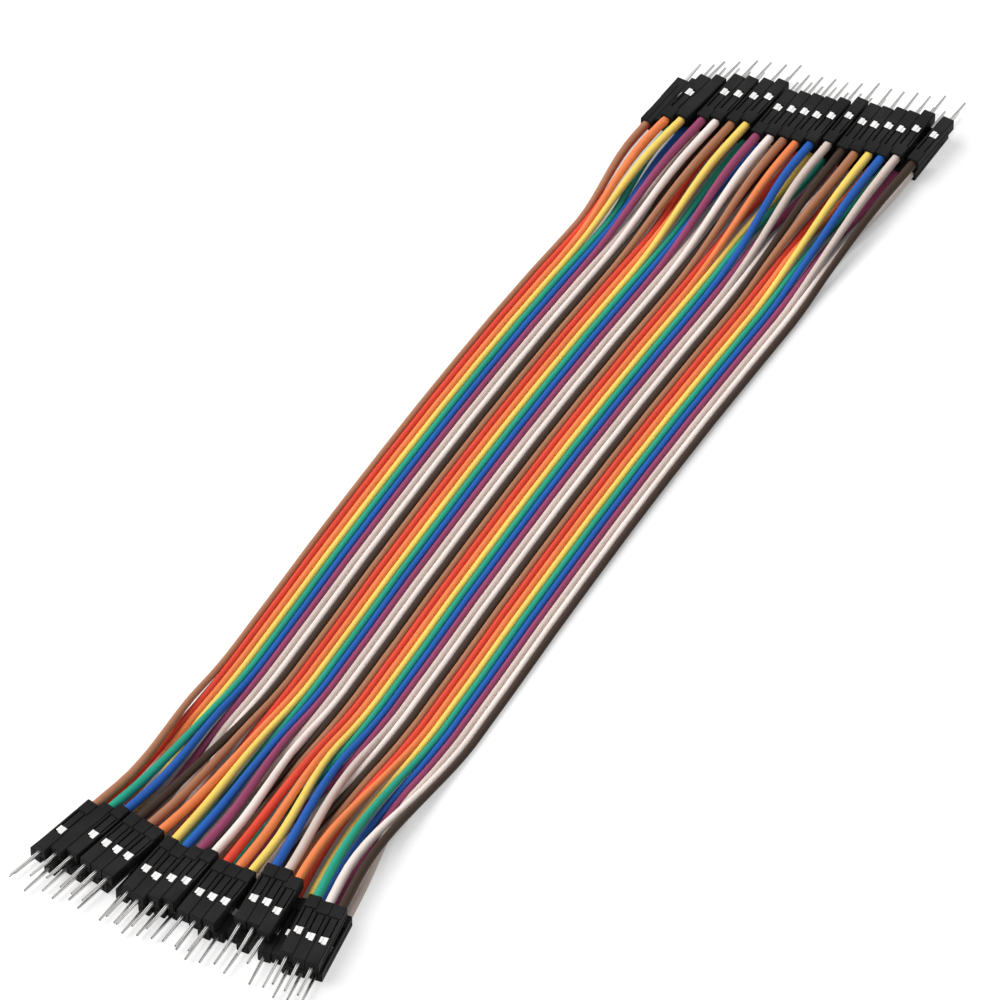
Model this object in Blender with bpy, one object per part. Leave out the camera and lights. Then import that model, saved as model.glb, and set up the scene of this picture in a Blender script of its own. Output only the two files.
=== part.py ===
"""Ribbon of forty breadboard jumper wires, male pin at both ends. Metres, +Z up.

The ribbon lies flat on the ground plane and runs along Y. At each end the
wires part into two layers of single-pole connectors, pins pointing outwards.
The origin is under the middle of all connectors, at the height of their
lowest faces.
"""

import math

import bmesh
import bpy
from mathutils import Matrix, Vector

MM = 0.001

# Wire and ribbon; the length is from housing to housing, at the middle of the row
WIRE_LENGTH = 0.21
WIRE_DIAMETER = 0.0012
BOND_GAP = 0.00007
FLOOR_GAP = 0.00005
POCKET_CLEARANCE = 0.00035
WIRE_IN_POCKET = 0.0014

# Connector housing, measured along its pin
HOUSING_WIDTH = 0.00254
HOUSING_LENGTH = 0.014
FRONT_CHAMFER = 0.00025
POCKET_DEPTH = 0.002
LATCH_START = 0.003
TONGUE_LENGTH = 0.0046
TONGUE_WIDTH = 0.0012
SLOT_WIDTH = 0.00025
WINDOW_LENGTH = 0.0017
LATCH_DEPTH = 0.00055
TONGUE_DROP = 0.00018
CONTACT_WIDTH = 0.0011
CONTACT_DROP = 0.0003
GROOVE_BOTTOM = -0.00028
GROOVE_TOP = 0.00003
GROOVE_DEPTH = 0.00012
GROOVE_LENGTH = 0.0118

# Square pin
PIN_SIDE = 0.00064
PIN_LENGTH = 0.0065
PIN_TAPER = 0.0009
PIN_TIP_SIDE = 0.00028
PIN_IN_HOUSING = 0.0006

# How the connectors lie
SIDE_OVERLAP = 0.00004
PRESSED_OVERLAP = 0.00018
LAYER_GAP = 0.0003

# Where the wires leave the flat ribbon
SPREAD_LENGTH = 0.03
LOWER_SPREAD_LENGTH = 0.026
GATHER_LENGTH = 0.05
GATHER = 0.05
RISE_LENGTH = 0.042
RISE_END = 0.004

WIRE_PITCH = WIRE_DIAMETER + BOND_GAP
ROW_LEVEL = {"near": -WIRE_LENGTH / 2, "far": WIRE_LENGTH / 2}
RIBBON_HEIGHT = WIRE_DIAMETER / 2 + FLOOR_GAP
POCKET_SIDE = WIRE_DIAMETER + 2 * POCKET_CLEARANCE
CUTTER_REACH = 0.001

# The ribbon's middle line on the ground, chosen by eye: y as a share of the
# wires' length, x in wire pitches
MIDDLE_LINE = (
    (-0.62, -0.5),
    (-0.43, -0.95),
    (-0.29, -0.55),
    (-0.12, -1.75),
    (0.05, -2.6),
    (0.19, -2.75),
    (0.36, -2.35),
    (0.62, -2.85),
)

# One colour per wire, four times over from left to right
COLOURS = (
    ("brown", (0.30, 0.14, 0.07)),
    ("red", (0.62, 0.03, 0.02)),
    ("orange", (0.85, 0.18, 0.05)),
    ("yellow", (0.85, 0.60, 0.08)),
    ("green", (0.01, 0.28, 0.17)),
    ("blue", (0.01, 0.06, 0.40)),
    ("purple", (0.28, 0.04, 0.15)),
    ("grey", (0.60, 0.53, 0.48)),
    ("white", (0.85, 0.80, 0.76)),
    ("black", (0.04, 0.025, 0.02)),
)

WIRE_COUNT = 4 * len(COLOURS)

# Rows of connectors: end, layer, how far neighbours overlap, x of the row's
# middle in housing widths, and its banks.
# A bank: yaw in degrees, gap before it, quarter turns of each housing about
# its pin, its wires from left to right, how far each rear face lies beyond the
# row's level along y. Lengths are in housing widths.
ROWS = (
    ("near", "top", SIDE_OVERLAP, 0.08, (
        (-10.0, 0.00, (0, 2, 0), (0, 4, 5), (-0.47, -0.10, 0.31)),
        (-9.0, 0.16, (0, 0, 0), (9, 10, 12), (0.12, 0.00, -0.12)),
        (-2.5, 0.31, (0, 0, 0, 0), (13, 15, 16, 18), (-0.39, -0.63, -0.24, 0.08)),
        (0.0, 0.20, (0, 0, 0), (21, 22, 23), (-0.31, -0.24, -0.12)),
        (6.5, 0.16, (0, 0, 0), (25, 27, 32), (1.10, 1.26, 0.94)),
        (10.0, 0.83, (0, 0, 0), (34, 38, 39), (0.20, 0.12, 0.24)),
    )),
    ("near", "bottom", SIDE_OVERLAP, -0.055, (
        (-12.0, 0.00, (1,), (1,), (-0.16,)),
        (-8.0, 0.16, (0, 0, 0, 0, 0), (2, 3, 6, 7, 8), (-0.63, 0.00, -0.24, 0.24, -0.08)),
        (-3.0, 0.16, (0, 0, 0, 0, 0), (11, 14, 17, 19, 20), (-0.16, 0.16, -0.35, 0.00, 0.28)),
        (3.0, 0.16, (0, 0, 0, 0, 0), (24, 26, 28, 29, 30), (0.31, -0.12, 0.16, 0.55, 0.20)),
        (9.0, 0.16, (0, 0, 0, 0, 0), (31, 33, 35, 36, 37), (0.16, 0.43, 0.00, 0.28, 0.55)),
    )),
    ("far", "top", SIDE_OVERLAP, -0.62, (
        (5.0, 0.00, (0, 2), (2, 3), (-2.30, -1.73)),
        (3.0, 0.12, (0, 0), (6, 8), (-0.92, -0.57)),
        (3.0, 0.12, (0, 0), (10, 13), (-0.18, 0.34)),
        (1.5, 0.16, (0, 0, 0, 0, 0), (16, 18, 20, 22, 25), (-0.35, 0.00, 0.28, 0.43, 0.91)),
        (1.0, 0.12, (0,), (27,), (1.61,)),
        (0.0, 0.16, (0, 0, 0, 0, 0), (29, 30, 33, 35, 37), (1.54, 1.73, 2.17, 2.32, 2.95)),
        (2.0, 0.39, (0,), (39,), (3.03,)),
    )),
    ("far", "bottom", PRESSED_OVERLAP, -1.52, (
        (2.0, 0.00, (3,) + (0,) * 11, (0, 1, 4, 5, 7, 9, 11, 12, 14, 15, 17, 19),
         (-2.46, -1.99, -1.85, -1.35, -1.25, -0.75, -0.72, -0.25, -0.41, 0.10, 0.14, 0.60)),
        (0.0, 0.16, (0,) * 10, (21, 23, 24, 26, 28, 31, 32, 34, 36, 38),
         (0.51, 0.94, 0.91, 1.38, 1.42, 1.93, 1.89, 2.44, 2.48, 2.99)),
    )),
)

# Where the spreading ends, from the row's level, in housing widths: the
# leftmost and the rightmost wire
SPREAD_END = {"near": (2.13, 2.52), "far": (-4.02, 1.02)}


def clear_scene():
    for thing in list(bpy.data.objects):
        bpy.data.objects.remove(thing, do_unlink=True)


def new_collection(name):
    collection = bpy.data.collections.new(name)
    bpy.context.scene.collection.children.link(collection)
    return collection


def plain_material(name, colour, roughness, metallic=0.0):
    material = bpy.data.materials.new(name)
    material.use_nodes = True
    shader = material.node_tree.nodes["Principled BSDF"]
    shader.inputs["Base Color"].default_value = (*colour, 1.0)
    shader.inputs["Roughness"].default_value = roughness
    shader.inputs["Metallic"].default_value = metallic
    material.diffuse_color = (*colour, 1.0)
    return material


def add_object(name, data, collection):
    thing = bpy.data.objects.new(name, data)
    collection.objects.link(thing)
    return thing


def box_object(name, low, high, collection):
    """A closed box between two corners."""
    low, high = Vector(low), Vector(high)
    shape = bmesh.new()
    place = Matrix.Translation((low + high) / 2) @ Matrix.Diagonal((*(high - low), 1.0))
    bmesh.ops.create_cube(shape, size=1.0, matrix=place)
    mesh = bpy.data.meshes.new(name)
    shape.to_mesh(mesh)
    shape.free()
    return add_object(name, mesh, collection)


def make_cutter(thing):
    thing.hide_render = True
    thing.display_type = "WIRE"
    return thing


def combine(target, other, operation):
    step = target.modifiers.new(f"{operation.lower()} {other.name}", "BOOLEAN")
    step.operation = operation
    step.solver = "EXACT"
    step.object = other


def finished_mesh(thing):
    """The mesh of an object with its modifiers applied."""
    bpy.context.view_layer.update()
    shown = thing.evaluated_get(bpy.context.evaluated_depsgraph_get())
    return bpy.data.meshes.new_from_object(shown)


def chamfer_front(thing):
    """Breaks the four edges round the face that the pin leaves."""
    shape = bmesh.new()
    shape.from_mesh(thing.data)
    front = [
        edge
        for edge in shape.edges
        if all(abs(corner.co.y - HOUSING_LENGTH) < FRONT_CHAMFER / 2 for corner in edge.verts)
    ]
    bmesh.ops.bevel(shape, geom=front, offset=FRONT_CHAMFER, segments=1, affect="EDGES")
    shape.to_mesh(thing.data)
    shape.free()


def latch_cutter(collection):
    """The two slots beside the latch tongue and the window that they run into."""
    tongue = TONGUE_WIDTH / 2
    outer = tongue + SLOT_WIDTH
    slot_end = LATCH_START + TONGUE_LENGTH
    window_end = slot_end + WINDOW_LENGTH
    outline = (
        (-outer, LATCH_START),
        (-tongue, LATCH_START),
        (-tongue, slot_end),
        (tongue, slot_end),
        (tongue, LATCH_START),
        (outer, LATCH_START),
        (outer, window_end),
        (-outer, window_end),
    )
    curve = bpy.data.curves.new("latch outline", "CURVE")
    curve.dimensions = "2D"
    curve.fill_mode = "BOTH"
    curve.extrude = (LATCH_DEPTH + CUTTER_REACH) / 2
    line = curve.splines.new("POLY")
    line.points.add(len(outline) - 1)
    for point, (x, y) in zip(line.points, outline):
        point.co = (x, y, 0.0, 1.0)
    line.use_cyclic_u = True
    flat = add_object("latch outline", curve, collection)
    make_cutter(flat)
    mesh = finished_mesh(flat)
    shape = bmesh.new()
    shape.from_mesh(mesh)
    bmesh.ops.remove_doubles(shape, verts=shape.verts, dist=MM / 1000)
    bmesh.ops.recalc_face_normals(shape, faces=shape.faces)
    lift = HOUSING_WIDTH / 2 - LATCH_DEPTH + curve.extrude
    bmesh.ops.translate(shape, verts=shape.verts, vec=(0.0, 0.0, lift))
    shape.to_mesh(mesh)
    shape.free()
    bpy.data.objects.remove(flat, do_unlink=True)
    return make_cutter(add_object("latch cutter", mesh, collection))


def contact_object(collection):
    """The top of the contact, as it shows in the window."""
    start = LATCH_START + TONGUE_LENGTH
    rim = (WINDOW_LENGTH - CONTACT_WIDTH) / 2
    high = HOUSING_WIDTH / 2 - CONTACT_DROP
    low = HOUSING_WIDTH / 2 - 2 * LATCH_DEPTH
    return make_cutter(box_object(
        "contact",
        (-CONTACT_WIDTH / 2, start + rim, low),
        (CONTACT_WIDTH / 2, start + WINDOW_LENGTH - rim, high),
        collection,
    ))


def tongue_cutter(collection):
    """Sets the latch tongue back from the housing's top face."""
    half = TONGUE_WIDTH / 2 + SLOT_WIDTH / 2
    top = HOUSING_WIDTH / 2
    return make_cutter(box_object(
        "tongue drop",
        (-half, LATCH_START + SLOT_WIDTH / 2, top - TONGUE_DROP),
        (half, LATCH_START + TONGUE_LENGTH + WINDOW_LENGTH / 2, top + CUTTER_REACH),
        collection,
    ))


def groove_cutter(side, collection):
    """The shallow groove along a side face, open at the rear."""
    wall = HOUSING_WIDTH / 2 - GROOVE_DEPTH
    ends = sorted((side * wall, side * (HOUSING_WIDTH / 2 + CUTTER_REACH)))
    return make_cutter(box_object(
        "side groove",
        (ends[0], -CUTTER_REACH, GROOVE_BOTTOM),
        (ends[1], GROOVE_LENGTH, GROOVE_TOP),
        collection,
    ))


def pin_object(collection):
    """The square pin: a straight shank and a tapered tip."""
    half = PIN_SIDE / 2
    shank_end = HOUSING_LENGTH + PIN_LENGTH - PIN_TAPER
    pin = box_object(
        "pin",
        (-half, HOUSING_LENGTH - PIN_IN_HOUSING, -half),
        (half, shank_end, half),
        collection,
    )
    shape = bmesh.new()
    shape.from_mesh(pin.data)
    shape.faces.ensure_lookup_table()
    end = max(shape.faces, key=lambda face: face.calc_center_median().y)
    made = bmesh.ops.extrude_discrete_faces(shape, faces=[end])
    tip = made["faces"][0].verts[:]
    bmesh.ops.translate(shape, verts=tip, vec=(0.0, PIN_TAPER, 0.0))
    shrink = PIN_TIP_SIDE / PIN_SIDE
    bmesh.ops.scale(shape, verts=tip, vec=(shrink, 1.0, shrink))
    shape.to_mesh(pin.data)
    shape.free()
    return make_cutter(pin)


def connector_mesh(collection):
    """One connector: origin on its axis at the rear face, pin towards +Y, latch up."""
    half = HOUSING_WIDTH / 2
    body = box_object("connector", (-half, 0.0, -half), (half, HOUSING_LENGTH, half), collection)
    make_cutter(body)
    chamfer_front(body)
    pocket = POCKET_SIDE / 2
    hole = box_object(
        "wire pocket", (-pocket, -CUTTER_REACH, -pocket), (pocket, POCKET_DEPTH, pocket), collection
    )
    make_cutter(hole)
    combine(body, hole, "DIFFERENCE")
    for side in (-1, 1):
        combine(body, groove_cutter(side, collection), "DIFFERENCE")
    combine(body, latch_cutter(collection), "DIFFERENCE")
    combine(body, tongue_cutter(collection), "DIFFERENCE")
    combine(body, contact_object(collection), "UNION")
    combine(body, pin_object(collection), "UNION")
    return finished_mesh(body)


def smooth(part):
    part = min(max(part, 0.0), 1.0)
    return part * part * (3.0 - 2.0 * part)


def middle_line(y):
    """The ribbon's middle x at this y, and its slope, on a smooth curve through the points."""
    points = [(a * WIRE_LENGTH, b * WIRE_PITCH) for a, b in MIDDLE_LINE]
    slopes = []
    for i in range(len(points)):
        before = points[max(i - 1, 0)]
        after = points[min(i + 1, len(points) - 1)]
        slopes.append((after[1] - before[1]) / (after[0] - before[0]))
    i = 0
    while i < len(points) - 2 and y > points[i + 1][0]:
        i += 1
    return bridge(y, *points[i], slopes[i], *points[i + 1], slopes[i + 1])


def bridge(y, y0, x0, slope0, y1, x1, slope1):
    """x on the smooth curve that joins two points with given slopes, and its slope."""
    run = y1 - y0
    t = (y - y0) / run
    rise = x1 - x0
    a = slope0 * run - rise
    b = rise - slope1 * run
    x = x0 + t * rise + t * (1 - t) * (a * (1 - t) + b * t)
    slope = (rise + (1 - 2 * t) * (a * (1 - t) + b * t) + t * (1 - t) * (b - a)) / run
    return x, slope


def lay_out_rows():
    """Every bank's place and the slots of its connectors, before the shift to the origin."""
    banks = []
    slots = {"near": {}, "far": {}}
    for end, layer, overlap, middle, row in ROWS:
        pitch = HOUSING_WIDTH - overlap
        height = HOUSING_WIDTH / 2
        if layer == "top":
            height += HOUSING_WIDTH + LAYER_GAP
        outwards = -1.0 if end == "near" else 1.0
        level = ROW_LEVEL[end]
        starts = row_starts(row, level, outwards, pitch)
        ends = [starts[0], starts[-1] + pitch * (len(row[-1][3]) - 1)]
        to_middle = middle * HOUSING_WIDTH - sum(ends) / 2
        for number, (start, bank) in enumerate(zip(starts, row), 1):
            yaw, gap, rolls, wires, rears = bank
            lean = math.radians(yaw)
            turn = math.pi + lean if end == "near" else -lean
            first = level + rears[0] * HOUSING_WIDTH
            place = Matrix.Translation((start + to_middle, first, height))
            place = place @ Matrix.Rotation(turn, 4, "Z")
            spots = []
            for i, (wire, rear) in enumerate(zip(wires, rears)):
                beside = outwards * i * pitch
                even = place @ Vector((beside, 0.0, 0.0))
                slide = (level + rear * HOUSING_WIDTH - even.y) / math.cos(turn)
                spots.append((beside, slide))
                slots[end][wire] = (place @ Vector((beside, slide, 0.0)), math.tan(turn), layer)
            banks.append((f"connectors_{end}_{layer}_{number}", place, spots, rolls))
    return banks, slots


def row_starts(row, level, outwards, pitch):
    """The x of each bank's first rear face, so that the least gap to the bank before is the one given."""
    starts = []
    for number, (yaw, gap, rolls, wires, rears) in enumerate(row):
        lean = math.radians(yaw)
        half = HOUSING_WIDTH / 2 / math.cos(lean)
        slope = outwards * math.tan(lean)
        first = level + rears[0] * HOUSING_WIDTH
        if number == 0:
            line = -slope * first
        else:
            rear_level = outwards * min(outwards * last, outwards * first)
            front_level = outwards * (max(outwards * last, outwards * first) + HOUSING_LENGTH)
            line = max(
                side + old_slope * y + gap * HOUSING_WIDTH + half - slope * y
                for y in (rear_level, front_level)
            )
        starts.append(line + slope * first)
        last = level + rears[-1] * HOUSING_WIDTH
        old_slope = slope
        side = line + pitch / math.cos(lean) * (len(wires) - 1) + half
    return starts


def spread_end(wire, end):
    """The y at which a wire comes in line with its housing."""
    left, right = SPREAD_END[end]
    share = wire / (WIRE_COUNT - 1)
    return ROW_LEVEL[end] + (left + (right - left) * share) * HOUSING_WIDTH


def wire_point(wire, y, slots):
    """The centre of a wire at this y: along its housing's axis, then over to the ribbon."""
    end = "near" if y < 0 else "far"
    inwards = 1.0 if end == "near" else -1.0
    rear, lean, layer = slots[end][wire]
    stop = spread_end(wire, end)
    begin = stop + inwards * (SPREAD_LENGTH if layer == "top" else LOWER_SPREAD_LENGTH)
    x, slope = ribbon_place(wire, y, inwards * (y - stop))
    if inwards * (begin - y) > 0.0:
        outer_x, outer_slope = ribbon_place(wire, begin, inwards * (begin - stop))
        stop_x = rear.x - (stop - rear.y) * lean
        if inwards * (stop - y) > 0.0:
            x = rear.x - (y - rear.y) * lean
        else:
            x, slope = bridge(y, stop, stop_x, -lean, begin, outer_x, outer_slope)
    out = inwards * (y - stop)
    part = smooth((out - RISE_END) / (RISE_LENGTH - RISE_END))
    z = rear.z + (RIBBON_HEIGHT - rear.z) * part
    return Vector((x, y, z))


def ribbon_place(wire, y, out):
    """x and slope of a wire in the ribbon, which draws together towards its ends."""
    x, slope = middle_line(y)
    keep = 1.0 - GATHER * (1.0 - smooth(out / GATHER_LENGTH))
    return x + (wire - (WIRE_COUNT - 1) / 2) * WIRE_PITCH * keep, slope


def wire_stations(wire, slots):
    """The y values at which a wire's line gets a point, from the near end to the far one."""
    ys = []
    for end, inwards in (("near", 1.0), ("far", -1.0)):
        stop = spread_end(wire, end)
        line = [slots[end][wire][0].y - inwards * WIRE_IN_POCKET, stop]
        line += [stop + inwards * SPREAD_LENGTH * part for part in (0.27, 0.54, 0.82, 1.1)]
        line.append(stop + inwards * RISE_LENGTH * 1.35)
        ys.append(line)
    middle = [ys[0][-1] * part + ys[1][-1] * (1 - part) for part in (0.67, 0.33)]
    return ys[0] + middle + ys[1][::-1]


def add_wire(wire, slots, shift, material, collection):
    name = f"wire_{wire + 1:02d}_{COLOURS[wire % len(COLOURS)][0]}"
    curve = bpy.data.curves.new(name, "CURVE")
    curve.dimensions = "3D"
    curve.bevel_depth = WIRE_DIAMETER / 2
    curve.bevel_resolution = 2
    curve.use_fill_caps = True
    curve.render_resolution_u = 0
    points = [wire_point(wire, y, slots) + shift for y in wire_stations(wire, slots)]
    line = curve.splines.new("POLY")
    line.points.add(len(points) - 1)
    for point, place in zip(line.points, points):
        point.co = (*place, 1.0)
    curve.materials.append(material)
    return add_object(name, curve, collection)


def main():
    clear_scene()
    parts = new_collection("jumper wire ribbon")
    cutters = new_collection("cutters")
    plastic = plain_material("black_housing", (0.02, 0.02, 0.022), 0.45)
    template = connector_mesh(cutters)
    banks, slots = lay_out_rows()

    made = []
    for name, place, spots, rolls in banks:
        pieces = []
        for i, ((beside, slide), roll) in enumerate(zip(spots, rolls)):
            mesh = template.copy()
            at = Matrix.Translation((beside, slide, 0.0))
            mesh.transform(at @ Matrix.Rotation(roll * math.pi / 2, 4, "Y"))
            if i == 0:
                piece = add_object(name, mesh, parts)
            else:
                piece = make_cutter(add_object(f"{name}_{i + 1}", mesh, cutters))
            piece.matrix_world = place
            pieces.append(piece)
        for piece in pieces[1:]:
            combine(pieces[0], piece, "UNION")
        pieces[0].data.materials.clear()
        pieces[0].data.materials.append(plastic)
        made.append(pieces)

    bpy.context.view_layer.update()
    corners = [
        piece.matrix_world @ vertex.co
        for pieces in made
        for piece in pieces
        for vertex in piece.data.vertices
    ]
    shift = Vector((
        -(min(c.x for c in corners) + max(c.x for c in corners)) / 2,
        -(min(c.y for c in corners) + max(c.y for c in corners)) / 2,
        0.0,
    ))
    for pieces in made:
        for piece in pieces:
            piece.location += shift

    insulation = [plain_material(f"{name}_insulation", colour, 0.4) for name, colour in COLOURS]
    for wire in range(WIRE_COUNT):
        add_wire(wire, slots, shift, insulation[wire % len(COLOURS)], parts)


main()
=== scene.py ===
"""Dresses the ribbon of forty jumper wires: wires, housings, contacts, light and camera."""

import math

import bmesh
import bpy
from mathutils import Matrix, Vector


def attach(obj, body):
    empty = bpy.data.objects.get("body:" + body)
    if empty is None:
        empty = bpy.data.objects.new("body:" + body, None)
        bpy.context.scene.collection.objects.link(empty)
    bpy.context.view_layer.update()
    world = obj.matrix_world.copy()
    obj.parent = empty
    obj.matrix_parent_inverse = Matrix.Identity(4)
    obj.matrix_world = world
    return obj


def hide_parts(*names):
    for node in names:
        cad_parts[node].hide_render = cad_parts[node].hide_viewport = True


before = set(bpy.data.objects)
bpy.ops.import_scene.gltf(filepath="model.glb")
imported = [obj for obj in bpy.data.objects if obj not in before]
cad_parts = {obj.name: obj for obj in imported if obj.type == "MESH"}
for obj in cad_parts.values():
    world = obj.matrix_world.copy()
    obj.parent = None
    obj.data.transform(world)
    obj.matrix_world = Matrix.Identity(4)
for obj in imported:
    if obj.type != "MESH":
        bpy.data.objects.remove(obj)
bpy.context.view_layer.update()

MM = 0.001

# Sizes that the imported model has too
WIRE_LENGTH = 0.21
WIRE_PITCH = 0.00127
RIBBON_HEIGHT = 0.00065
HOUSING_WIDTH = 0.00254
HOUSING_LENGTH = 0.014
PIN_LENGTH = 0.0065
SIDE_OVERLAP = 0.00004
PRESSED_OVERLAP = 0.00018
LAYER_GAP = 0.0003
SPREAD_LENGTH = 0.03
LOWER_SPREAD_LENGTH = 0.026
GATHER_LENGTH = 0.05
GATHER = 0.05
RISE_LENGTH = 0.042
RISE_END = 0.004
WIRE_IN_POCKET = 0.0014
WIRE_COUNT = 40
ROW_LEVEL = {"near": -WIRE_LENGTH / 2, "far": WIRE_LENGTH / 2}

# From the layout's own origin to the frame's, under the middle of all the
# connectors
SHIFT = Vector((0.00065448, -0.0030509, 0.0))

# How much thicker a free wire is drawn at its housing than in the ribbon,
# where its neighbours press it
FREE_SWELL = 0.38

# Steps along a wire's centre line, in each free end and in the ribbon
FREE_STEPS = 13
RIBBON_STEPS = 8

# The ribbon's middle line on the ground, given as points: y as a share of the
# wires' length, x in wire pitches
MIDDLE_LINE = (
    (-0.62, -0.5),
    (-0.43, -0.95),
    (-0.29, -0.55),
    (-0.12, -1.75),
    (0.05, -2.6),
    (0.19, -2.75),
    (0.36, -2.35),
    (0.62, -2.85),
)

# The wires' colours from left to right, four times over
COLOURS = (
    ("brown", (0.38, 0.165, 0.09)),
    ("red", (0.7, 0.065, 0.036)),
    ("orange", (0.82, 0.22, 0.075)),
    ("yellow", (0.88, 0.62, 0.13)),
    ("green", (0.018, 0.32, 0.215)),
    ("blue", (0.016, 0.1, 0.4)),
    ("purple", (0.28, 0.052, 0.125)),
    ("grey", (0.62, 0.51, 0.46)),
    ("white", (0.83, 0.72, 0.675)),
    ("black", (0.04, 0.023, 0.015)),
)

# Rows of connectors: end, layer, how far neighbours overlap, x of the row's
# middle in housing widths, and its banks.
# A bank: yaw in degrees, gap before it, quarter turns of each housing about
# its pin, its wires from left to right, how far each rear face lies beyond the
# row's level along y. Lengths are in housing widths.
ROWS = (
    ("near", "top", SIDE_OVERLAP, 0.08, (
        (-10.0, 0.00, (0, 2, 0), (0, 4, 5), (-0.47, -0.10, 0.31)),
        (-9.0, 0.16, (0, 0, 0), (9, 10, 12), (0.12, 0.00, -0.12)),
        (-2.5, 0.31, (0, 0, 0, 0), (13, 15, 16, 18), (-0.39, -0.63, -0.24, 0.08)),
        (0.0, 0.20, (0, 0, 0), (21, 22, 23), (-0.31, -0.24, -0.12)),
        (6.5, 0.16, (0, 0, 0), (25, 27, 32), (1.10, 1.26, 0.94)),
        (10.0, 0.83, (0, 0, 0), (34, 38, 39), (0.20, 0.12, 0.24)),
    )),
    ("near", "bottom", SIDE_OVERLAP, -0.055, (
        (-12.0, 0.00, (1,), (1,), (-0.16,)),
        (-8.0, 0.16, (0, 0, 0, 0, 0), (2, 3, 6, 7, 8), (-0.63, 0.00, -0.24, 0.24, -0.08)),
        (-3.0, 0.16, (0, 0, 0, 0, 0), (11, 14, 17, 19, 20), (-0.16, 0.16, -0.35, 0.00, 0.28)),
        (3.0, 0.16, (0, 0, 0, 0, 0), (24, 26, 28, 29, 30), (0.31, -0.12, 0.16, 0.55, 0.20)),
        (9.0, 0.16, (0, 0, 0, 0, 0), (31, 33, 35, 36, 37), (0.16, 0.43, 0.00, 0.28, 0.55)),
    )),
    ("far", "top", SIDE_OVERLAP, -0.62, (
        (5.0, 0.00, (0, 2), (2, 3), (-2.30, -1.73)),
        (3.0, 0.12, (0, 0), (6, 8), (-0.92, -0.57)),
        (3.0, 0.12, (0, 0), (10, 13), (-0.18, 0.34)),
        (1.5, 0.16, (0, 0, 0, 0, 0), (16, 18, 20, 22, 25), (-0.35, 0.00, 0.28, 0.43, 0.91)),
        (1.0, 0.12, (0,), (27,), (1.61,)),
        (0.0, 0.16, (0, 0, 0, 0, 0), (29, 30, 33, 35, 37), (1.54, 1.73, 2.17, 2.32, 2.95)),
        (2.0, 0.39, (0,), (39,), (3.03,)),
    )),
    ("far", "bottom", PRESSED_OVERLAP, -1.52, (
        (2.0, 0.00, (3,) + (0,) * 11, (0, 1, 4, 5, 7, 9, 11, 12, 14, 15, 17, 19),
         (-2.46, -1.99, -1.85, -1.35, -1.25, -0.75, -0.72, -0.25, -0.41, 0.10, 0.14, 0.60)),
        (0.0, 0.16, (0,) * 10, (21, 23, 24, 26, 28, 31, 32, 34, 36, 38),
         (0.51, 0.94, 0.91, 1.38, 1.42, 1.93, 1.89, 2.44, 2.48, 2.99)),
    )),
)

# Where the spreading ends, from the row's level, in housing widths: the
# leftmost and the rightmost wire
SPREAD_END = {"near": (2.13, 2.52), "far": (-4.02, 1.02)}

# The housing in mm. Halves and heights are from its axis, places along it from
# its rear face, and drops from its top. The reliefs keep it inside its place in
# the row.
HOUSING_HALF = HOUSING_WIDTH / 2 / MM
HOUSING_FRONT = HOUSING_LENGTH / MM
SIDE_RELIEF = 0.035
TOP_RELIEF = 0.005
EDGE_ROUND = 0.13
WIRE_HOLE_HALF = 0.92
WIRE_HOLE_END = 2.4
CAVITY_HALF_WIDTH = 0.68
CAVITY_HALF_HEIGHT = 0.62
CAVITY_START = 2.3
CAVITY_END = 11.0
PIN_HOLE_HALF = 0.42
PIN_HOLE_START = 10.5
LATCH_START = 3.0
LATCH_END = 7.6
LATCH_DROP = 0.14
TONGUE_HALF_WIDTH = 0.95
TONGUE_START = 2.96
TONGUE_DROP = 0.24
HINGE_START = 2.9
HINGE_END = 3.02
HINGE_DROP = 0.3
SLOT_INNER_SIDE = 0.6
SLOT_OUTER_SIDE = 0.86
SLOT_END = 7.55
SLOT_FLOOR = 0.35
WINDOW_HALF_WIDTH = 0.8
WINDOW_START = 7.5
WINDOW_END = 9.35
WINDOW_FLOOR = 0.3
GROOVE_BOTTOM = -0.28
GROOVE_TOP = 0.03
GROOVE_SIDE = 1.12
GROOVE_END = 11.8
CUTTER_REACH = 1.0

# The pin in mm, from the housing's axis and rear face. It is a little thicker
# than the real one, as bright metal looks. Its fold is the groove in its top
# and bottom, and its tip keeps a share of the pin's size.
PIN_HALF = 0.37
PIN_START = 9.0
PIN_TIP = (HOUSING_LENGTH + PIN_LENGTH) / MM
PIN_CORNER = 0.07
PIN_TAPER = 0.8
PIN_TIP_SHARE = 0.5
FOLD_HALF_WIDTH = 0.08
FOLD_FLOOR = 0.16

# Painted shade on the pin: which faces of its fold, from its axis, take the dark metal as the fold's
# shadow, and how far both ways a broken corner leans to take it too as painted edge shade
PAINTED_FOLD_SHADE_HALF_WIDTH = 0.1
PAINTED_FOLD_SHADE_HEIGHT = 0.3
CORNER_LEAN = 0.3

# The contact's folded sheet in mm: low corner, high corner and broken edge
FOLDED_SHEET = (
    ("box under the latch", (-0.5, 4.0, -0.5), (0.5, 9.2, 0.5), 0.08),
    ("wide flap", (-0.74, 7.6, 0.5), (0.14, 9.28, 1.2), 0.03),
    ("narrow flap", (0.2, 7.6, 0.5), (0.74, 8.98, 1.17), 0.03),
    ("collar", (-0.4, 9.4, -0.4), (0.4, 10.6, 0.4), 0.06),
)

# Places in a contact's list of metals, after the pin's own
# the dark grey metal that is painted shade in the pin's fold and on its corners
PAINTED_SHADE_METAL = 1
SHEET_METAL = 2

# Faces that meet at more than this many degrees keep a sharp edge
SHARP_EDGE = 32

# How fine the patches and the grain of a finish are, and how strong its grain is
PATCH_DETAIL = 3.0
GRAIN_DETAIL = 2.0
GRAIN_STRENGTH = 0.5

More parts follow.
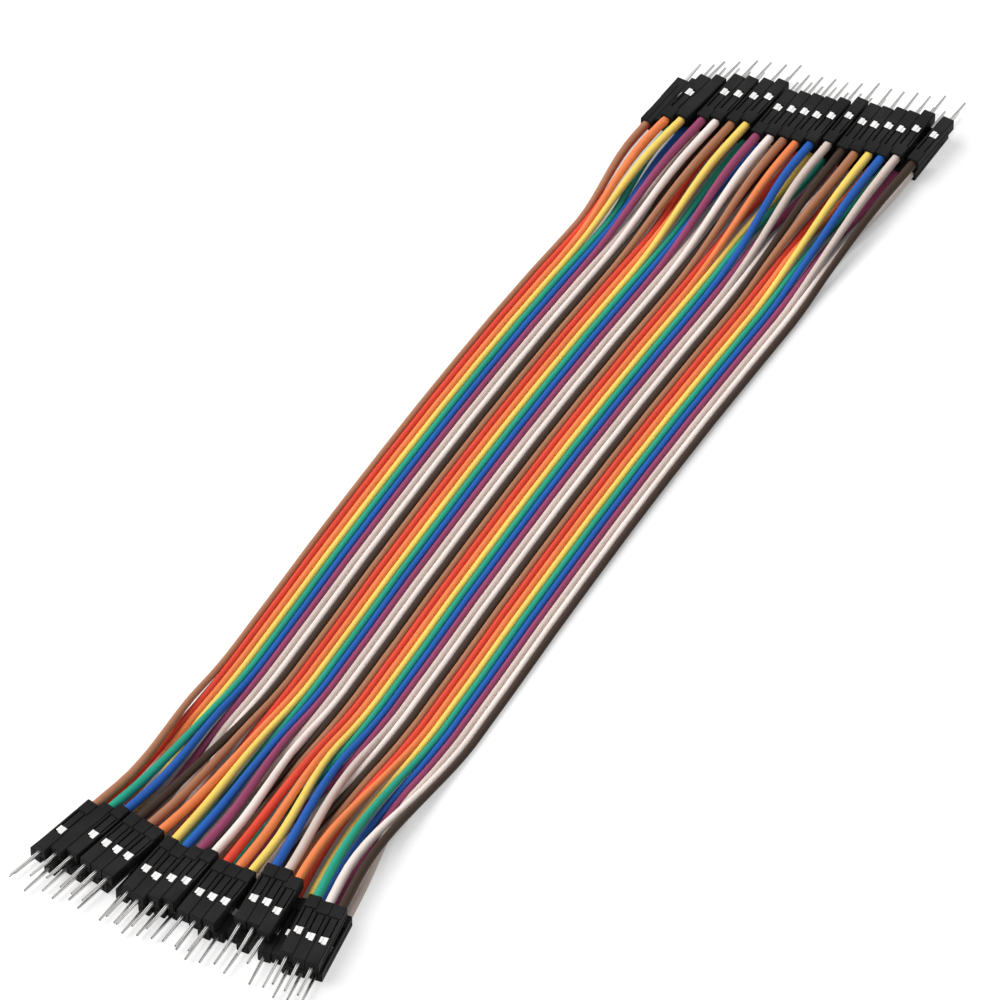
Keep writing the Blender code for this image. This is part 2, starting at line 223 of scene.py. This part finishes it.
# Camera, in the layout's own places
CAMERA_PLACE = Vector((0.4520, -0.7714, 0.9421))
CAMERA_AIM = Vector((-0.00305, -0.00166, 0.0))
CAMERA_LENS = 252.0
CAMERA_SENSOR = 36.0

# Floor: its size, its grey, and its glow, which is held faint within these distances of the ribbon's
# middle as painted shade under the ribbon, and full a little further out
FLOOR_REACH = 3.0
FLOOR_DEPTH = 0.02
FLOOR_GREY = 0.5
PAINTED_SHADE_GLOW = 0.02
FULL_GLOW = 0.56
PAINTED_SHADE_REACH = (("X", 0.019), ("Y", 0.108))
PAINTED_SHADE_EDGE = 0.007

# Light of the surroundings: what is seen of it, and what falls on the object
SEEN_LIGHT = 1.0
SOFT_LIGHT = 0.36

# Lamps: name, strength, width of its light in degrees, where it stands
LAMPS = (
    ("key", 3.15, 50.0, (-0.6, -0.2, 0.77)),
    ("fill", 0.25, 70.0, (0.5, 0.5, 0.7)),
)


# How the wires run

def ease(part):
    """Nothing before the start, one after the end, and a soft step between them."""
    part = min(max(part, 0.0), 1.0)
    return part * part * (3.0 - 2.0 * part)


def bend_between(y, y0, x0, slope0, y1, x1, slope1):
    """x on the smooth curve that joins two points with given slopes, and its slope."""
    run = y1 - y0
    t = (y - y0) / run
    rise = x1 - x0
    a = slope0 * run - rise
    b = rise - slope1 * run
    x = x0 + t * rise + t * (1 - t) * (a * (1 - t) + b * t)
    slope = (rise + (1 - 2 * t) * (a * (1 - t) + b * t) + t * (1 - t) * (b - a)) / run
    return x, slope


def middle_line(y):
    """The ribbon's middle x at this y, and its slope, on a smooth curve through the points."""
    points = [(a * WIRE_LENGTH, b * WIRE_PITCH) for a, b in MIDDLE_LINE]
    slopes = []
    for i in range(len(points)):
        before = points[max(i - 1, 0)]
        after = points[min(i + 1, len(points) - 1)]
        slopes.append((after[1] - before[1]) / (after[0] - before[0]))
    i = 0
    while i < len(points) - 2 and y > points[i + 1][0]:
        i += 1
    return bend_between(y, *points[i], slopes[i], *points[i + 1], slopes[i + 1])


def ribbon_place(wire, y, out):
    """x and slope of a wire in the ribbon, which draws together towards its ends."""
    x, slope = middle_line(y)
    keep = 1.0 - GATHER * (1.0 - ease(out / GATHER_LENGTH))
    return x + (wire - (WIRE_COUNT - 1) / 2) * WIRE_PITCH * keep, slope


def spread_end(wire, end):
    """The y at which a wire comes in line with its housing."""
    left, right = SPREAD_END[end]
    share = wire / (WIRE_COUNT - 1)
    return ROW_LEVEL[end] + (left + (right - left) * share) * HOUSING_WIDTH


def wire_point(wire, y, slots):
    """The centre of a wire at this y: along its housing's axis, then over to the ribbon."""
    end = "near" if y < 0 else "far"
    inwards = 1.0 if end == "near" else -1.0
    rear, lean, layer = slots[end][wire]
    stop = spread_end(wire, end)
    begin = stop + inwards * (SPREAD_LENGTH if layer == "top" else LOWER_SPREAD_LENGTH)
    if inwards * (stop - y) > 0.0:
        x = rear.x - (y - rear.y) * lean
    elif inwards * (begin - y) > 0.0:
        ribbon_x, ribbon_slope = ribbon_place(wire, begin, inwards * (begin - stop))
        stop_x = rear.x - (stop - rear.y) * lean
        x, slope = bend_between(y, stop, stop_x, -lean, begin, ribbon_x, ribbon_slope)
    else:
        x, slope = ribbon_place(wire, y, inwards * (y - stop))
    out = inwards * (y - stop)
    fallen = ease((out - RISE_END) / (RISE_LENGTH - RISE_END))
    z = rear.z + (RIBBON_HEIGHT - rear.z) * fallen
    return Vector((x, y, z))


def wire_line(wire, slots):
    """The points of a wire's centre line, close together where it bends."""
    ends = []
    for end, inwards in (("near", 1.0), ("far", -1.0)):
        stop = spread_end(wire, end)
        rear = slots[end][wire][0]
        line = [rear.y - inwards * WIRE_IN_POCKET, (rear.y + stop) / 2]
        line += [stop + inwards * RISE_LENGTH * step / FREE_STEPS for step in range(FREE_STEPS + 1)]
        ends.append(line)
    near, far = ends
    run = far[-1] - near[-1]
    ribbon = [near[-1] + run * step / RIBBON_STEPS for step in range(1, RIBBON_STEPS)]
    return [wire_point(wire, y, slots) + SHIFT for y in near + ribbon + far[::-1]]


# Where the connectors lie

def row_starts(row, level, outwards, pitch):
    """The x of each bank's first rear face, so that the least gap to the bank before is the one given."""
    starts = []
    for number, (yaw, gap, rolls, wires, rears) in enumerate(row):
        lean = math.radians(yaw)
        half = HOUSING_WIDTH / 2 / math.cos(lean)
        slope = outwards * math.tan(lean)
        first = level + rears[0] * HOUSING_WIDTH
        if number == 0:
            line = -slope * first
        else:
            rear_level = outwards * min(outwards * last, outwards * first)
            front_level = outwards * (max(outwards * last, outwards * first) + HOUSING_LENGTH)
            line = max(
                side + old_slope * y + gap * HOUSING_WIDTH + half - slope * y
                for y in (rear_level, front_level)
            )
        starts.append(line + slope * first)
        last = level + rears[-1] * HOUSING_WIDTH
        old_slope = slope
        side = line + pitch / math.cos(lean) * (len(wires) - 1) + half
    return starts


def lay_out_rows():
    """Every bank's place and the slots of its connectors, before the shift to the origin."""
    banks = []
    slots = {"near": {}, "far": {}}
    for end, layer, overlap, middle, row in ROWS:
        pitch = HOUSING_WIDTH - overlap
        height = HOUSING_WIDTH / 2
        if layer == "top":
            height += HOUSING_WIDTH + LAYER_GAP
        outwards = -1.0 if end == "near" else 1.0
        level = ROW_LEVEL[end]
        starts = row_starts(row, level, outwards, pitch)
        ends = [starts[0], starts[-1] + pitch * (len(row[-1][3]) - 1)]
        to_middle = middle * HOUSING_WIDTH - sum(ends) / 2
        for number, (start, bank) in enumerate(zip(starts, row), 1):
            yaw, gap, rolls, wires, rears = bank
            lean = math.radians(yaw)
            turn = math.pi + lean if end == "near" else -lean
            first = level + rears[0] * HOUSING_WIDTH
            place = Matrix.Translation((start + to_middle, first, height))
            place = place @ Matrix.Rotation(turn, 4, "Z")
            spots = []
            for i, (wire, rear) in enumerate(zip(wires, rears)):
                beside = outwards * i * pitch
                even = place @ Vector((beside, 0.0, 0.0))
                slide = (level + rear * HOUSING_WIDTH - even.y) / math.cos(turn)
                spots.append((beside, slide))
                slots[end][wire] = (place @ Vector((beside, slide, 0.0)), math.tan(turn), layer)
            banks.append((f"connectors_{end}_{layer}_{number}", place, spots, rolls))
    return banks, slots


# Finishes

def finish_sockets(name, wants, gives):
    """A new finish with its named inputs and outputs."""
    group = bpy.data.node_groups.new(name, "ShaderNodeTree")
    for label, kind in wants:
        group.interface.new_socket(label, in_out="INPUT", socket_type=kind)
    for label, kind in gives:
        group.interface.new_socket(label, in_out="OUTPUT", socket_type=kind)
    nodes = group.nodes
    return group, nodes.new("NodeGroupInput"), nodes.new("NodeGroupOutput")


def mottle(tree, place, scale, detail):
    """Soft random patches, between nothing and one."""
    made = tree.nodes.new("ShaderNodeTexNoise")
    made.inputs["Scale"].default_value = scale
    made.inputs["Detail"].default_value = detail
    tree.links.new(place, made.inputs["Vector"])
    return made.outputs["Fac"]


def ranged(tree, value, low, high, from_low=0.3, from_high=0.7):
    """The value, with its own range drawn out to the range from low to high."""
    made = tree.nodes.new("ShaderNodeMapRange")
    for name, number in (
        ("From Min", from_low), ("From Max", from_high), ("To Min", low), ("To Max", high)
    ):
        made.inputs[name].default_value = number
    tree.links.new(value, made.inputs["Value"])
    return made.outputs["Result"]


def finish_group(name, stretch, patch_scale, grain_scale, shade, gloss):
    """Colour with soft patches, roughness that varies, and a fine grain to bump."""
    group, given, made = finish_sockets(
        name,
        (("Colour", "NodeSocketColor"),),
        (("Colour", "NodeSocketColor"), ("Roughness", "NodeSocketFloat"), ("Height", "NodeSocketFloat")),
    )
    place = group.nodes.new("ShaderNodeTexCoord").outputs["Object"]
    mapping = group.nodes.new("ShaderNodeMapping")
    mapping.inputs["Scale"].default_value = stretch
    group.links.new(place, mapping.inputs["Vector"])
    patches = mottle(group, mapping.outputs["Vector"], patch_scale, PATCH_DETAIL)
    grain = mottle(group, mapping.outputs["Vector"], grain_scale, GRAIN_DETAIL)
    tint = group.nodes.new("ShaderNodeHueSaturation")
    group.links.new(given.outputs["Colour"], tint.inputs["Color"])
    group.links.new(ranged(group, patches, *shade), tint.inputs["Value"])
    group.links.new(tint.outputs["Color"], made.inputs["Colour"])
    group.links.new(ranged(group, patches, *gloss), made.inputs["Roughness"])
    group.links.new(grain, made.inputs["Height"])
    return group


def finished(name, group, colour, bump, metallic=0.0, specular=0.5):
    """A material that has the finish in this colour, with its grain bump metres high."""
    made = bpy.data.materials.new(name)
    made.use_nodes = True
    tree = made.node_tree
    shader = tree.nodes["Principled BSDF"]
    finish = tree.nodes.new("ShaderNodeGroup")
    finish.node_tree = group
    finish.inputs["Colour"].default_value = (*colour, 1.0)
    lift = tree.nodes.new("ShaderNodeBump")
    lift.inputs["Distance"].default_value = bump
    lift.inputs["Strength"].default_value = GRAIN_STRENGTH
    tree.links.new(finish.outputs["Colour"], shader.inputs["Base Color"])
    tree.links.new(finish.outputs["Roughness"], shader.inputs["Roughness"])
    tree.links.new(finish.outputs["Height"], lift.inputs["Height"])
    tree.links.new(lift.outputs["Normal"], shader.inputs["Normal"])
    shader.inputs["Metallic"].default_value = metallic
    shader.inputs["Specular IOR Level"].default_value = specular
    made.diffuse_color = (*colour, 1.0)
    return made


def insulation_colours():
    """The satin sleeve of a wire in each of its colours."""
    satin = finish_group(
        "insulation_finish",
        stretch=(1.0, 0.15, 1.0), patch_scale=420.0, grain_scale=2600.0,
        shade=(0.92, 1.04), gloss=(0.42, 0.55),
    )
    return {
        name: finished(f"{name}_insulation_look", satin, colour, bump=0.000006, specular=0.16)
        for name, colour in COLOURS
    }


def housing_plastic():
    """The black moulded plastic, with duller and brighter patches."""
    moulded = finish_group(
        "moulded_finish",
        stretch=(1.0, 1.0, 1.0), patch_scale=110.0, grain_scale=5200.0,
        shade=(0.55, 1.5), gloss=(0.42, 0.6),
    )
    return finished("moulded_housing", moulded, (0.0165, 0.0163, 0.0166), bump=0.00001, specular=0.05)


def contact_metals():
    """The pin's metal, a dark grey metal painted as shade in its fold and on its corners, and the bright
    folded sheet.
    """
    drawn = finish_group(
        "drawn_metal_finish",
        stretch=(1.0, 0.12, 1.0), patch_scale=900.0, grain_scale=4200.0,
        shade=(0.9, 1.08), gloss=(0.2, 0.38),
    )
    return (
        finished("drawn_pin", drawn, (0.7, 0.69, 0.68), bump=0.000004, metallic=1.0),
        finished("painted_fold_and_corner_shade", drawn, (0.1, 0.1, 0.1), bump=0.000004, metallic=0.6),
        finished("tinned_contact", drawn, (0.92, 0.91, 0.9), bump=0.000004, metallic=1.0),
    )


# Housings and contacts

def box_mesh(name, low, high, bevel=0.0, segments=1):
    """A box between two corners, its edges bevelled if a bevel is given."""
    low, high = Vector(low), Vector(high)
    shape = bmesh.new()
    place = Matrix.Translation((low + high) / 2) @ Matrix.Diagonal((*(high - low), 1.0))
    bmesh.ops.create_cube(shape, size=1.0, matrix=place)
    if bevel:
        bmesh.ops.bevel(shape, geom=shape.edges[:], offset=bevel, segments=segments, affect="EDGES")
    mesh = bpy.data.meshes.new(name)
    shape.to_mesh(mesh)
    shape.free()
    return mesh


def box_in_mm(name, low, high, bevel=0.0, segments=1):
    """The same box, from corners and a bevel in mm."""
    low = [side * MM for side in low]
    high = [side * MM for side in high]
    return box_mesh(name, low, high, bevel * MM, segments)


def cutter(x, y, z):
    """A box to cut with, from its three ranges in mm."""
    low, high = zip(x, y, z)
    return box_in_mm("cutter", low, high)


def both_sides(half):
    """The range that lies evenly about the axis."""
    return (-half, half)


def cut_away(mesh, *cutters):
    """The mesh with the cutters' shapes taken away."""
    target = bpy.data.objects.new("cut target", mesh)
    bpy.context.scene.collection.objects.link(target)
    tools = []
    for shape in cutters:
        tool = bpy.data.objects.new("cutter", shape)
        bpy.context.scene.collection.objects.link(tool)
        tools.append(tool)
        step = target.modifiers.new("cut", "BOOLEAN")
        step.operation = "DIFFERENCE"
        step.solver = "EXACT"
        step.object = tool
    bpy.context.view_layer.update()
    shown = target.evaluated_get(bpy.context.evaluated_depsgraph_get())
    result = bpy.data.meshes.new_from_object(shown)
    for thing in (target, *tools):
        bpy.data.objects.remove(thing, do_unlink=True)
    return result


def housing_mesh():
    """One housing, its axis on y from the wire's side to the pin's, latch up."""
    side = HOUSING_HALF - SIDE_RELIEF
    top = HOUSING_HALF - TOP_RELIEF
    body = box_in_mm("housing", (-side, 0.0, -top), (side, HOUSING_FRONT, top), EDGE_ROUND, 2)
    outside = HOUSING_HALF + CUTTER_REACH
    behind = -CUTTER_REACH
    in_front = HOUSING_FRONT + CUTTER_REACH
    wire_hole = both_sides(WIRE_HOLE_HALF)
    pin_hole = both_sides(PIN_HOLE_HALF)
    slot_height = (SLOT_FLOOR, outside)
    groove_height = (GROOVE_BOTTOM, GROOVE_TOP)
    latch_height, tongue_height, hinge_height = (
        (HOUSING_HALF - drop, outside) for drop in (LATCH_DROP, TONGUE_DROP, HINGE_DROP)
    )
    cuts = [
        cutter(wire_hole, (behind, WIRE_HOLE_END), wire_hole),
        cutter(both_sides(CAVITY_HALF_WIDTH), (CAVITY_START, CAVITY_END), both_sides(CAVITY_HALF_HEIGHT)),
        cutter((-SLOT_OUTER_SIDE, -SLOT_INNER_SIDE), (LATCH_START, SLOT_END), slot_height),
        cutter((SLOT_INNER_SIDE, SLOT_OUTER_SIDE), (LATCH_START, SLOT_END), slot_height),
        cutter(both_sides(WINDOW_HALF_WIDTH), (WINDOW_START, WINDOW_END), (WINDOW_FLOOR, outside)),
        cutter(both_sides(outside), (LATCH_START, LATCH_END), latch_height),
        cutter(both_sides(TONGUE_HALF_WIDTH), (TONGUE_START, LATCH_END), tongue_height),
        cutter(both_sides(outside), (HINGE_START, HINGE_END), hinge_height),
        cutter(pin_hole, (PIN_HOLE_START, in_front), pin_hole),
        cutter((GROOVE_SIDE, outside), (behind, GROOVE_END), groove_height),
        cutter((-outside, -GROOVE_SIDE), (behind, GROOVE_END), groove_height),
    ]
    return cut_away(body, *cuts)


def pin_mesh():
    """The square pin with its fold and tapered tip, its fold and corners in the darker metal as painted
    shade.
    """
    pin = box_in_mm("pin", (-PIN_HALF, PIN_START, -PIN_HALF), (PIN_HALF, PIN_TIP, PIN_HALF), PIN_CORNER)
    outside = PIN_HALF + CUTTER_REACH
    along = (PIN_START - CUTTER_REACH, PIN_TIP + CUTTER_REACH)
    fold = both_sides(FOLD_HALF_WIDTH)
    upper = cutter(fold, along, (FOLD_FLOOR, outside))
    lower = cutter(fold, along, (-outside, -FOLD_FLOOR))
    pin = cut_away(pin, upper, lower)
    for vertex in pin.vertices:
        past = (vertex.co.y - (PIN_TIP - PIN_TAPER) * MM) / (PIN_TAPER * MM)
        if past > 0.0:
            share = 1.0 - (1.0 - PIN_TIP_SHARE) * min(past, 1.0)
            vertex.co.x *= share
            vertex.co.z *= share
    # painted shade: faces in the fold and on broken corners take the dark metal
    for face in pin.polygons:
        middle, lean = face.center, face.normal
        in_painted_fold_shade = abs(middle.x) < PAINTED_FOLD_SHADE_HALF_WIDTH * MM and abs(middle.z) < PAINTED_FOLD_SHADE_HEIGHT * MM
        on_painted_corner_shade = abs(lean.x) > CORNER_LEAN and abs(lean.z) > CORNER_LEAN
        if in_painted_fold_shade or on_painted_corner_shade:
            face.material_index = PAINTED_SHADE_METAL
    return pin


def contact_mesh():
    """One contact: the square pin, and the folded sheet whose flaps the window shows."""
    shape = bmesh.new()
    shape.from_mesh(pin_mesh())
    for name, low, high, broken_edge in FOLDED_SHEET:
        sheet = box_in_mm(name, low, high, broken_edge)
        for face in sheet.polygons:
            face.material_index = SHEET_METAL
        shape.from_mesh(sheet)
    mesh = bpy.data.meshes.new("contact")
    shape.to_mesh(mesh)
    shape.free()
    return mesh


def bank_mesh(name, template, spots, rolls, finishes):
    """The template at every spot of a bank, as one mesh."""
    shape = bmesh.new()
    for (beside, slide), roll in zip(spots, rolls):
        one = template.copy()
        at = Matrix.Translation((beside, slide, 0.0))
        one.transform(at @ Matrix.Rotation(roll * math.pi / 2, 4, "Y"))
        shape.from_mesh(one)
        bpy.data.meshes.remove(one)
    mesh = bpy.data.meshes.new(name)
    shape.to_mesh(mesh)
    shape.free()
    for finish in finishes:
        mesh.materials.append(finish)
    for face in mesh.polygons:
        face.use_smooth = True
    mesh.set_sharp_from_angle(angle=math.radians(SHARP_EDGE))
    return mesh


def add_connectors(banks):
    """Each bank's housings and contacts, in place of its node."""
    housings = ("housings", housing_mesh(), (housing_plastic(),))
    contacts = ("contacts", contact_mesh(), contact_metals())
    for name, place, spots, rolls in banks:
        for kind, template, finishes in (housings, contacts):
            label = name.replace("connectors", kind)
            piece = bpy.data.objects.new(label, bank_mesh(label, template, spots, rolls, finishes))
            bpy.context.scene.collection.objects.link(piece)
            piece.matrix_world = Matrix.Translation(SHIFT) @ place
            bpy.context.view_layer.update()
            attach(piece, "root")
            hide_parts(name)


# Wires


def sleeve(name, points):
    """The round sleeve along a wire's centre line, thicker where the wire is free."""
    curve = bpy.data.curves.new(name, "CURVE")
    curve.dimensions = "3D"
    curve.bevel_depth = WIRE_PITCH / 2
    curve.bevel_resolution = 5
    curve.use_fill_caps = True
    line = curve.splines.new("POLY")
    line.points.add(len(points) - 1)
    for point, place in zip(line.points, points):
        point.co = (*place, 1.0)
        to_housing = min((place - points[0]).length, (points[-1] - place).length)
        point.radius = 1.0 + FREE_SWELL * (1.0 - ease(to_housing / RISE_LENGTH))
    line.use_smooth = True
    return curve


def add_wires(slots, finishes):
    """The forty wires, each in place of its node."""
    names = [name for name, colour in COLOURS]
    for wire in range(WIRE_COUNT):
        colour = names[wire % len(names)]
        node = f"wire_{wire + 1:02d}_{colour}"
        label = f"insulation_{wire + 1:02d}"
        points = wire_line(wire, slots)
        curve = sleeve(label, points)
        curve.materials.append(finishes[colour])
        piece = bpy.data.objects.new(label, curve)
        bpy.context.scene.collection.objects.link(piece)
        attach(piece, "root")
        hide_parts(node)


# Camera, floor and light

def place_camera():
    """A long lens from the ribbon's near right, looking down."""
    data = bpy.data.cameras.new("camera")
    data.sensor_width = CAMERA_SENSOR
    data.lens = CAMERA_LENS
    camera = bpy.data.objects.new("camera", data)
    bpy.context.scene.collection.objects.link(camera)
    target = CAMERA_AIM + SHIFT
    camera.location = CAMERA_PLACE + SHIFT
    look = target - camera.location
    camera.rotation_mode = "QUATERNION"
    camera.rotation_quaternion = look.to_track_quat("-Z", "Y")
    bpy.context.scene.camera = camera


def reckon(tree, operation, first, second):
    """A Math node of two values, the second of which may be a plain number."""
    made = tree.nodes.new("ShaderNodeMath")
    made.operation = operation
    tree.links.new(first, made.inputs[0])
    if isinstance(second, float):
        made.inputs[1].default_value = second
    else:
        tree.links.new(second, made.inputs[1])
    return made.outputs[0]


def watched(tree):
    """One for the rays that the camera, gloss and glass send out, and nothing for the rest."""
    path = tree.nodes.new("ShaderNodeLightPath")
    seen = path.outputs["Is Camera Ray"]
    for kind in ("Is Glossy Ray", "Is Transmission Ray"):
        seen = reckon(tree, "MAXIMUM", seen, path.outputs[kind])
    return seen


def floor_paint():
    """A grey that takes the ribbon's shadow and glows white beside it for the watched rays, its glow held
    faint under the ribbon as painted shade.
    """
    plain = bpy.data.materials.new("studio_floor")
    plain.use_nodes = True
    tree = plain.node_tree
    shader = tree.nodes["Principled BSDF"]
    shader.inputs["Base Color"].default_value = (FLOOR_GREY, FLOOR_GREY, FLOOR_GREY, 1.0)
    shader.inputs["Roughness"].default_value = 0.9
    shader.inputs["Specular IOR Level"].default_value = 0.0
    shader.inputs["Emission Color"].default_value = (1.0, 1.0, 1.0, 1.0)
    place = tree.nodes.new("ShaderNodeSeparateXYZ")
    tree.links.new(tree.nodes.new("ShaderNodeTexCoord").outputs["Object"], place.inputs[0])
    beside = []
    # painted shade: the glow fades to faint within these reaches of the ribbon's middle, so the ground
    # under the wires reads dark
    for axis, reach in PAINTED_SHADE_REACH:
        opposite = reckon(tree, "MULTIPLY", place.outputs[axis], -1.0)
        away = reckon(tree, "MAXIMUM", place.outputs[axis], opposite)
        beside.append(ranged(tree, away, PAINTED_SHADE_GLOW, FULL_GLOW, reach, reach + PAINTED_SHADE_EDGE))
    glow = reckon(tree, "MULTIPLY", reckon(tree, "MAXIMUM", *beside), watched(tree))
    tree.links.new(glow, shader.inputs["Emission Strength"])
    return plain


def add_floor():
    """The floor, whose top is the ground that the ribbon lies on."""
    low = (-FLOOR_REACH, -FLOOR_REACH, -FLOOR_DEPTH)
    mesh = box_mesh("floor", low, (FLOOR_REACH, FLOOR_REACH, 0.0))
    mesh.materials.append(floor_paint())
    floor = bpy.data.objects.new("floor", mesh)
    bpy.context.scene.collection.objects.link(floor)


def add_surroundings():
    """Even white surroundings, bright for the watched rays and softer as light."""
    world = bpy.data.worlds.new("studio")
    bpy.context.scene.world = world
    world.use_nodes = True
    tree = world.node_tree
    tree.nodes.clear()
    out = tree.nodes.new("ShaderNodeOutputWorld")
    mix = tree.nodes.new("ShaderNodeMixShader")
    tree.links.new(watched(tree), mix.inputs[0])
    for socket, strength in ((1, SOFT_LIGHT), (2, SEEN_LIGHT)):
        white = tree.nodes.new("ShaderNodeBackground")
        white.inputs["Color"].default_value = (1.0, 1.0, 1.0, 1.0)
        white.inputs["Strength"].default_value = strength
        tree.links.new(white.outputs[0], mix.inputs[socket])
    tree.links.new(mix.outputs[0], out.inputs[0])


def add_lamps():
    """A broad lamp from the upper left and a weak one from the far right."""
    for name, strength, angle, source in LAMPS:
        light = bpy.data.lights.new(name, "SUN")
        light.energy = strength
        light.angle = math.radians(angle)
        lamp = bpy.data.objects.new(name, light)
        lamp.rotation_mode = "QUATERNION"
        lamp.rotation_quaternion = Vector(source).to_track_quat("Z", "Y")
        bpy.context.scene.collection.objects.link(lamp)


def main():
    bpy.context.scene.view_settings.view_transform = "Standard"
    place_camera()
    banks, slots = lay_out_rows()
    add_wires(slots, insulation_colours())
    add_connectors(banks)
    add_floor()
    add_surroundings()
    add_lamps()


main()
